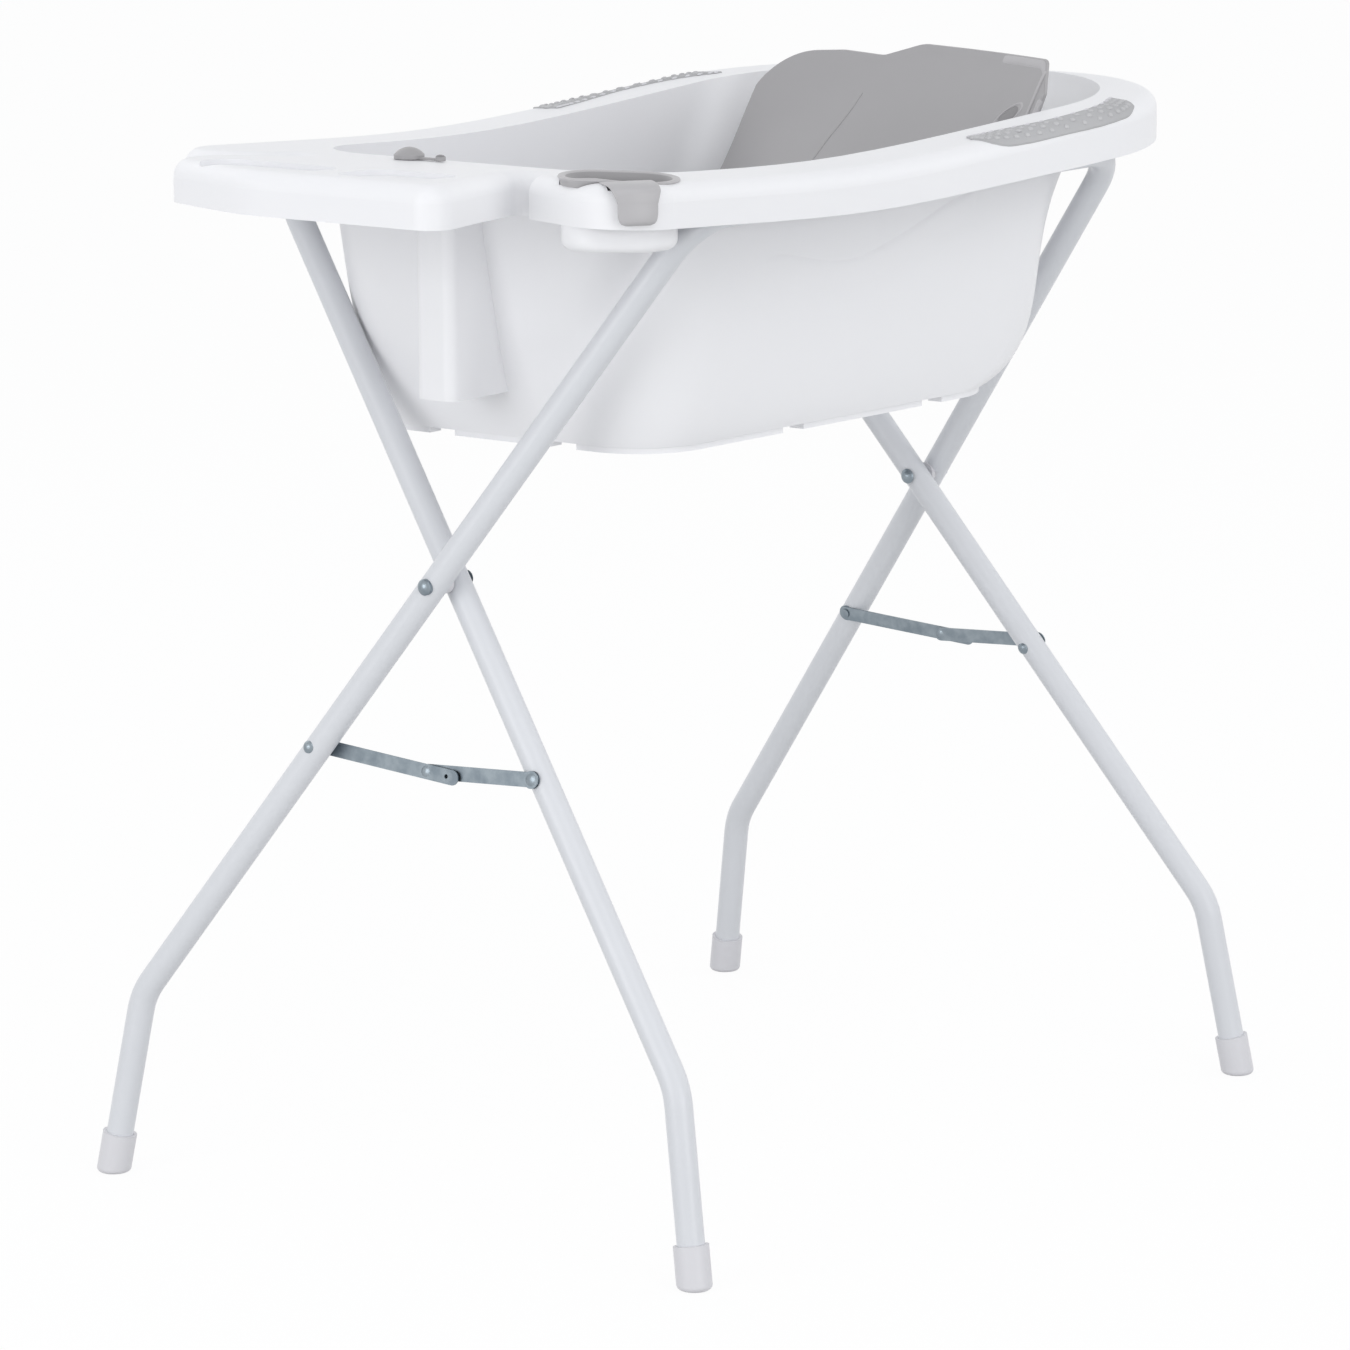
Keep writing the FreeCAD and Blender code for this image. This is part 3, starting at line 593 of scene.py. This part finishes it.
def recliner_line(mesh, surface, radius, places):
    """Bead along the part of a line that lies on the recliner."""
    hits = [on_recliner(surface, y, z)[0] for y, z in smooth_between(places, LINE_STEPS)]
    bead(mesh, [at for at in hits if at is not None], radius)


def recliner_flange(surface):
    """Raised band along the near part of the top edge, in a lighter grey that paints its highlight."""
    tops = []
    for i in range(FLANGE_COLUMNS+1):
        y = FLANGE_Y-FLANGE_LONG*i/FLANGE_COLUMNS
        z = TOP_SEARCH_Z
        while on_recliner(surface, y, z+TOP_SEARCH_STEP)[0] is not None:
            z += TOP_SEARCH_STEP
        tops.append((y, z))
    rows = []
    for k in range(FLANGE_ROWS+1):
        share = k/FLANGE_ROWS
        row = []
        for i, (y, z) in enumerate(tops):
            at, normal = on_recliner(surface, y, z-FLANGE_HIGH*(1-share))
            fade = min(1.0, i/FLANGE_FADE[0], (FLANGE_COLUMNS-i)/FLANGE_FADE[1])
            row.append(at+normal*(FLANGE_PROUD*math.sqrt(math.sin(math.pi*share))*fade-FLANGE_SINK))
        rows.append(row)
    flange = bmesh.new()
    skin_rows(flange, rows, False)
    # Edge grey on the band: painted highlight
    add_piece("recliner_flange", flange, edge_grey, "recliner")


def recliner_slot_shade(surface):
    """Dark oval plate where the hand slot opens, painted shade in place of the opening, with a rounded rim
    whose lighter grey is a painted highlight.
    """
    centre, normal = on_recliner(surface, *SLOT_AT)
    slope = Vector(SLOT_SLOPE)
    painted_hole_shade = bmesh.new()
    dome_on(painted_hole_shade, centre, normal, slope, *SLOT)
    # Dark grey plate: painted shade of the slot's opening
    add_piece("recliner_slot_shade", painted_hole_shade, dark_grey, "recliner")
    up, long_way, side = directions(normal, slope)
    rows = []
    for i in range(SLOT_RIM_POINTS):
        turn = 2*math.pi*i/SLOT_RIM_POINTS
        spoke = long_way*(SLOT_RIM_HALF_LONG*math.cos(turn))+side*(SLOT_RIM_HALF_SHORT*math.sin(turn))
        row = []
        for k in range(SLOT_RIM_SIDES):
            roll = 2*math.pi*k/SLOT_RIM_SIDES
            row.append(centre+spoke*(1+SLOT_RIM_WIDE*math.cos(roll))+up*(SLOT_RIM_HIGH*math.sin(roll)))
        rows.append(row)
    rim = bmesh.new()
    skin_rows(rim, rows+rows[:1], True)
    bmesh.ops.remove_doubles(rim, verts=rim.verts, dist=1e-7)
    # Edge grey rim: painted highlight along the slot's border
    add_piece("recliner_slot_rim", rim, edge_grey, "recliner")


def recliner_details():
    surface = surface_of("recliner")
    folds = bmesh.new()
    for fold in FOLDS:
        recliner_line(folds, surface, *fold)
    # Fold beads in edge grey: painted highlight streaks
    add_piece("recliner_edges", folds, edge_grey, "recliner")
    crease = bmesh.new()
    recliner_line(crease, surface, *CREASE)
    add_piece("recliner_crease", crease, grey_plastic, "recliner")
    recliner_flange(surface)
    recliner_slot_shade(surface)


# Dark dome on the plug's strap
def plug_tip():
    low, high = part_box("drain_plug")
    mesh = bmesh.new()
    at = Vector(((low[0]+high[0])/2, low[1]+TIP_IN_Y, low[2]+TIP_UP))
    dome_on(mesh, at, -DOWN, Vector((0.0, 1.0, 0.0)), *TIP)
    add_piece("plug_tip", mesh, dark_grey, "drain_plug")


# Stage
FLOOR_SIZE = 24.0
FLOOR_GLOW = 1.05
FLOOR_WHITE = 0.88
WORLD_LIGHT = 0.72
BATH_MIDDLE = (0.0, 0.0, 0.6)
# Lamps: place, target, size and power
LAMPS = {"key": ((-1.3, -2.3, 3.5), BATH_MIDDLE, 2.4, 15.0),
         "front": ((-0.9, -3.4, 0.75), (0.1, -0.2, 0.78), 1.8, 22.0),
         "fill": ((2.6, -2.2, 2.2), BATH_MIDDLE, 2.4, 14.0),
         "rim": ((0.5, 3.0, 2.8), BATH_MIDDLE, 2.4, 10.0),
         "foot": ((-3.2, 0.4, 1.1), (0.0, 0.0, 0.7), 1.8, 25.0)}


def seen_share(tree):
    """1 for rays that see the background: straight from the camera, in a reflection or through glass."""
    path = tree.nodes.new("ShaderNodeLightPath")
    share = path.outputs["Is Camera Ray"]
    for ray in ("Is Glossy Ray", "Is Transmission Ray"):
        either = tree.nodes.new("ShaderNodeMath")
        either.operation = "MAXIMUM"
        tree.links.new(share, either.inputs[0])
        tree.links.new(path.outputs[ray], either.inputs[1])
        share = either.outputs["Value"]
    return share


def make_floor():
    bpy.ops.mesh.primitive_plane_add(size=FLOOR_SIZE, location=(0.0, 0.0, 0.0))
    floor = bpy.context.object
    floor.name = "floor"
    material, tree, shader = new_material("floor", (0.6, 0.6, 0.6), 0.7)
    glow = tree.nodes.new("ShaderNodeEmission")
    glow.inputs["Color"].default_value = (1.0, 1.0, 1.0, 1.0)
    glow.inputs["Strength"].default_value = FLOOR_GLOW
    # The part of the floor that isn't white keeps the object's shadow
    most = tree.nodes.new("ShaderNodeMath")
    most.operation = "MULTIPLY"
    most.inputs[1].default_value = FLOOR_WHITE
    tree.links.new(seen_share(tree), most.inputs[0])
    mix = tree.nodes.new("ShaderNodeMixShader")
    tree.links.new(most.outputs["Value"], mix.inputs["Fac"])
    tree.links.new(shader.outputs["BSDF"], mix.inputs[1])
    tree.links.new(glow.outputs["Emission"], mix.inputs[2])
    tree.links.new(mix.outputs["Shader"], tree.nodes["Material Output"].inputs["Surface"])
    floor.data.materials.append(material)


def make_world():
    world = bpy.data.worlds.new("studio")
    bpy.context.scene.world = world
    world.use_nodes = True
    tree = world.node_tree
    background = tree.nodes["Background"]
    background.inputs["Color"].default_value = (0.96, 0.975, 1.0, 1.0)
    background.inputs["Strength"].default_value = WORLD_LIGHT
    white = tree.nodes.new("ShaderNodeBackground")
    white.inputs["Color"].default_value = (1.0, 1.0, 1.0, 1.0)
    white.inputs["Strength"].default_value = 1.0
    mix = tree.nodes.new("ShaderNodeMixShader")
    tree.links.new(seen_share(tree), mix.inputs["Fac"])
    tree.links.new(background.outputs["Background"], mix.inputs[1])
    tree.links.new(white.outputs["Background"], mix.inputs[2])
    tree.links.new(mix.outputs["Shader"], tree.nodes["World Output"].inputs["Surface"])


def area_light(name, at, target, size, power):
    data = bpy.data.lights.new(name, "AREA")
    data.energy = power
    data.size = size
    lamp = bpy.data.objects.new(name, data)
    bpy.context.scene.collection.objects.link(lamp)
    lamp.location = at
    lamp.rotation_euler = (Vector(target)-Vector(at)).to_track_quat("-Z", "Y").to_euler()


bath_surface = surface_of("bath_shell")
grip_strip(-1.0, "near", bath_surface)
grip_strip(1.0, "far", bath_surface)
wall_step(-1.0, "near", bath_surface)
wall_step(1.0, "far", bath_surface)
make_cup()
recliner_details()
plug_tip()
set_camera()
make_floor()
make_world()
for lamp_name, lamp in LAMPS.items():
    area_light(lamp_name, *lamp)
bpy.context.scene.view_settings.view_transform = "Standard"
